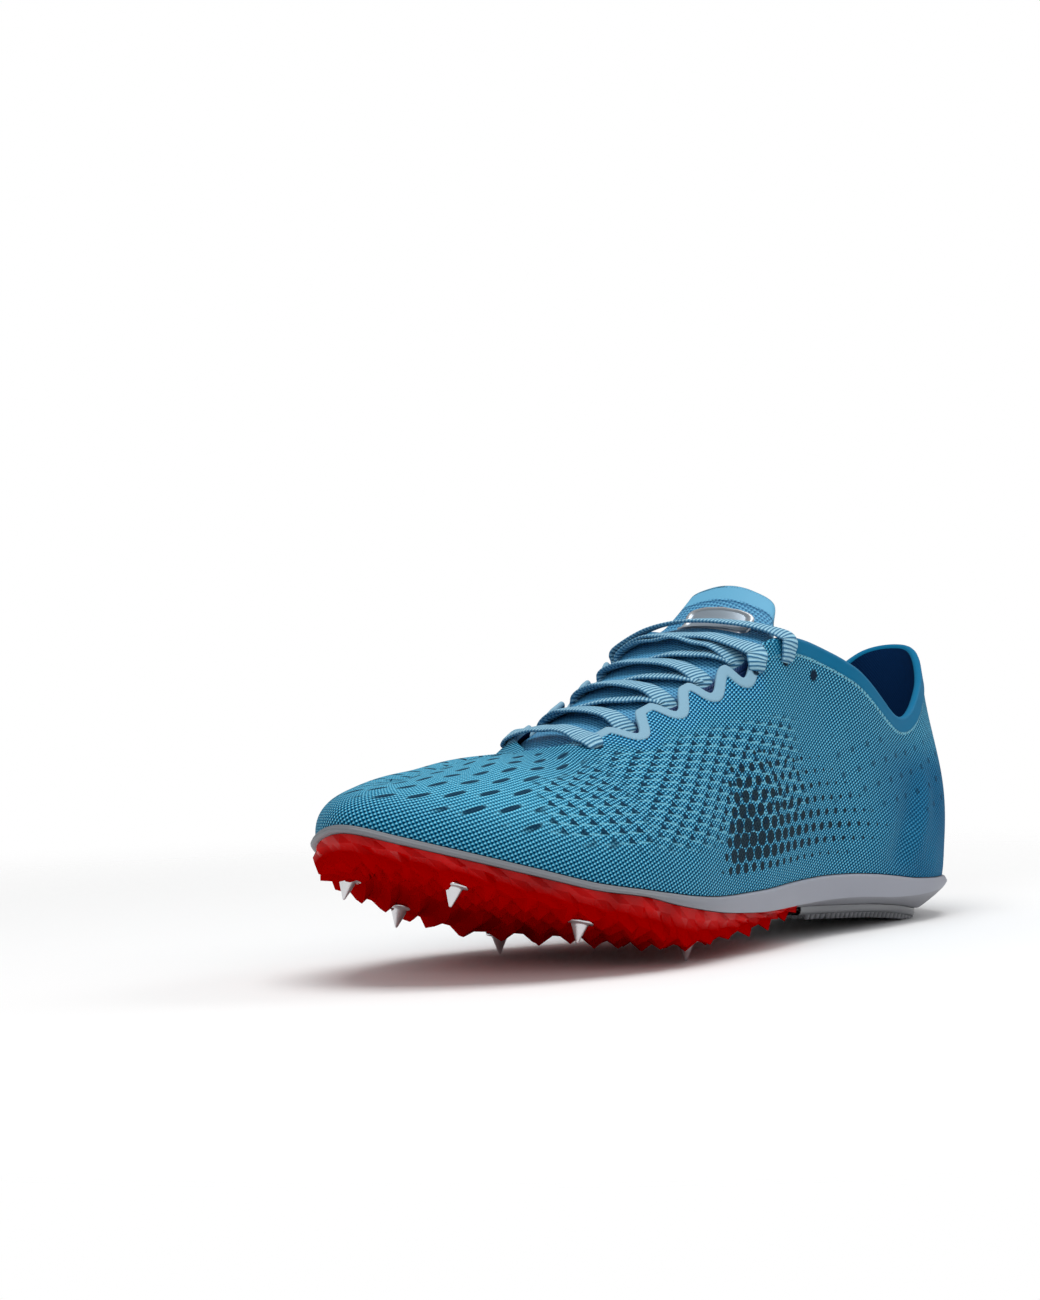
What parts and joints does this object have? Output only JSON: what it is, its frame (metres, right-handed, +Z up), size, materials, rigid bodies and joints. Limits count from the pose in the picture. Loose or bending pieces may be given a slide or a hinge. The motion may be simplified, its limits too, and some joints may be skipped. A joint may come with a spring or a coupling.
{
  "type": "track spike shoe",
  "caption": "Left low-cut track spike shoe: knitted upper, laced throat, thin foam midsole, faceted spike plate under the forefoot with screw-in pins, and a heel tread strip.",
  "frame": {"origin": "middle of the whole shoe's footprint, on the floor it stands on", "axes": "+X towards the toe along the shoe's length, +Y towards the outer side of this left shoe, +Z up"},
  "size_m": [0.2864, 0.0948, 0.1134],
  "materials": {
    "midsole_foam": "matte foam",
    "plate_plastic": "glossy translucent",
    "tread_rubber": "matte",
    "pin_steel": "bright plated",
    "upper_knit": "engineered knit",
    "tongue_knit": "fine knit",
    "insole_cloth": "woven top cloth",
    "lace_cord": "ribbed flat braid"
  },
  "bodies": {
    "root": {"midsole": "midsole_foam", "spike_plate": "plate_plastic", "heel_tread": "tread_rubber", "pin_toe_inner": "pin_steel", "pin_toe_outer": "pin_steel", "pin_mid_inner": "pin_steel", "pin_mid_outer": "pin_steel", "pin_ball_inner": "pin_steel", "pin_ball_outer": "pin_steel", "upper": "upper_knit", "tongue": "tongue_knit", "insole": "insole_cloth", "laces": "lace_cord"}
  },
  "joints": []
}
